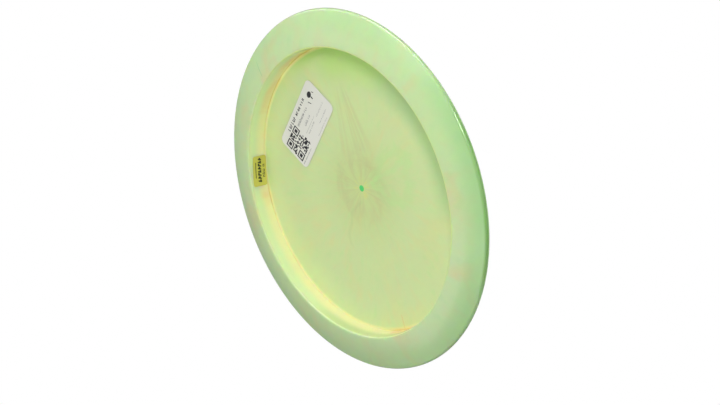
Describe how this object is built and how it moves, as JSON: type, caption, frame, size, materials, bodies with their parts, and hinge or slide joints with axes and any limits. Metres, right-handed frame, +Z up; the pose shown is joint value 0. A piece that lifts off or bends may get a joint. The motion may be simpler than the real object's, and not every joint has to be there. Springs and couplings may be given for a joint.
{
  "type": "flying disc",
  "caption": "Golf-style flying disc, a thin domed plate in a wide blunt-edged rim, with a foil stamp on top and stick-on labels in the hollow underside.",
  "frame": {"origin": "centre of the plane that the rim rests on, below the middle of the disc", "axes": "+Z up along the spin axis, towards the domed top; the product label is in the -X, +Y quarter of the underside"},
  "size_m": [0.211, 0.211, 0.016],
  "materials": {
    "disc_plastic": "glossy pearly elastomer, pale green with cream and pink swirls, slightly translucent",
    "stamp_foil": "hot-pressed metallic foil",
    "label_paper": null,
    "label_gold": null
  },
  "bodies": {
    "root": {"disc_body": "disc_plastic", "hot_stamp": "stamp_foil", "product_label": "label_paper", "weight_label": "label_gold"}
  },
  "joints": []
}
